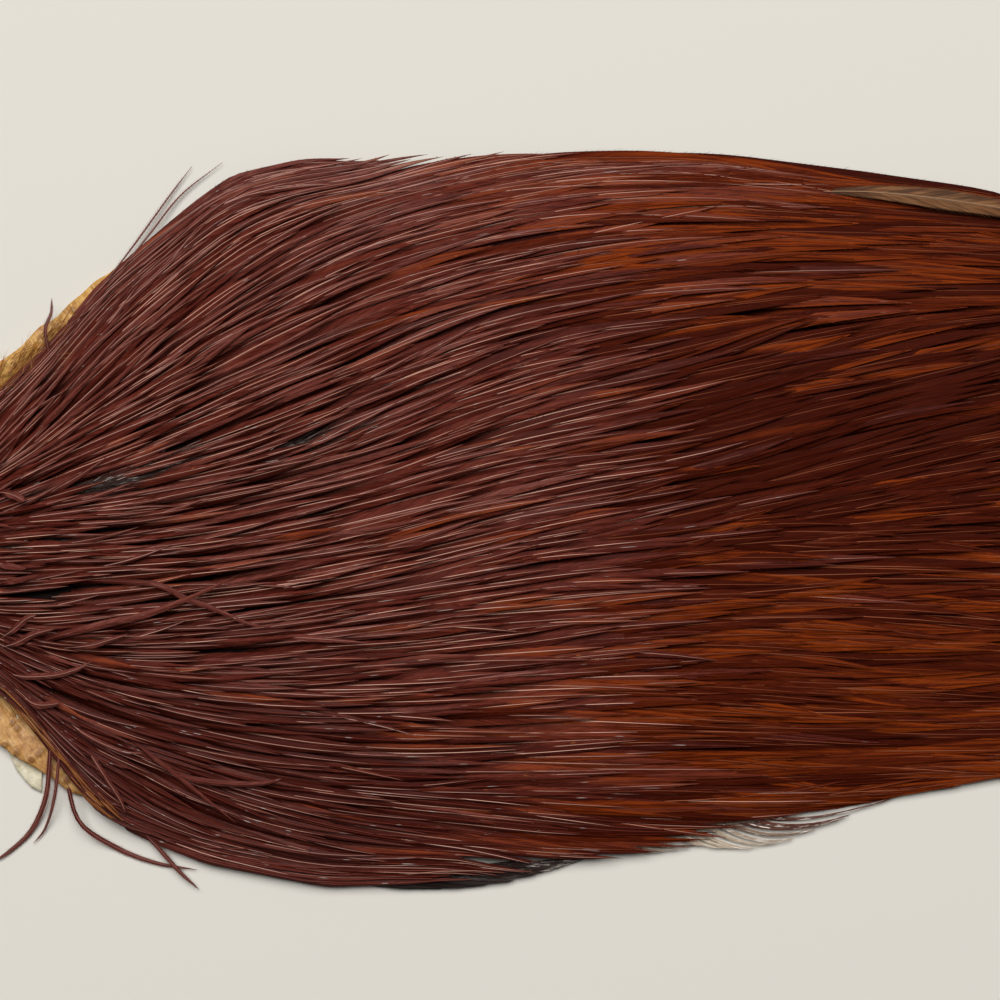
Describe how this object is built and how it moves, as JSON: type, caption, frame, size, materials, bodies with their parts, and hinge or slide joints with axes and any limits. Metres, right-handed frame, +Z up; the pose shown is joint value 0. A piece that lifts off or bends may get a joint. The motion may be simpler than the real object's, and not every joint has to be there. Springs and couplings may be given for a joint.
{
  "type": "rooster cape",
  "caption": "Dried rooster neck pelt lying skin side down, its long red-brown hackles combed back over each other like thatch, as kept for tying fishing flies.",
  "frame": {"origin": "middle of the footprint, on the surface that the cape lies on", "axes": "+X from the head end to the longest hackle tips, +Y to the side of the cape that is uppermost in the picture, +Z up out of the feathers"},
  "size_m": [0.319, 0.166, 0.0188],
  "materials": {
    "dried_skin": "dry, waxy and wrinkled, yellow to tan",
    "hackles": "satin red-brown barbs with pale quill lines and orange-brown webby tips",
    "black_web": "soft black down and web",
    "grey_web": "open grey-brown barbs"
  },
  "bodies": {
    "root": {"skin": "dried_skin", "hackle_coat": "hackles", "stray_hackle_long": "hackles", "stray_hackle_thin": "hackles", "stray_hackle_side": "hackles", "stray_hackle_crossed": "hackles", "stray_hackle_upper": "hackles", "edge_hackle_outer": "hackles", "edge_hackle_inner": "hackles", "black_underfeather": "black_web", "grey_underfeather_front": "grey_web", "grey_underfeather_back": "grey_web"}
  },
  "joints": []
}
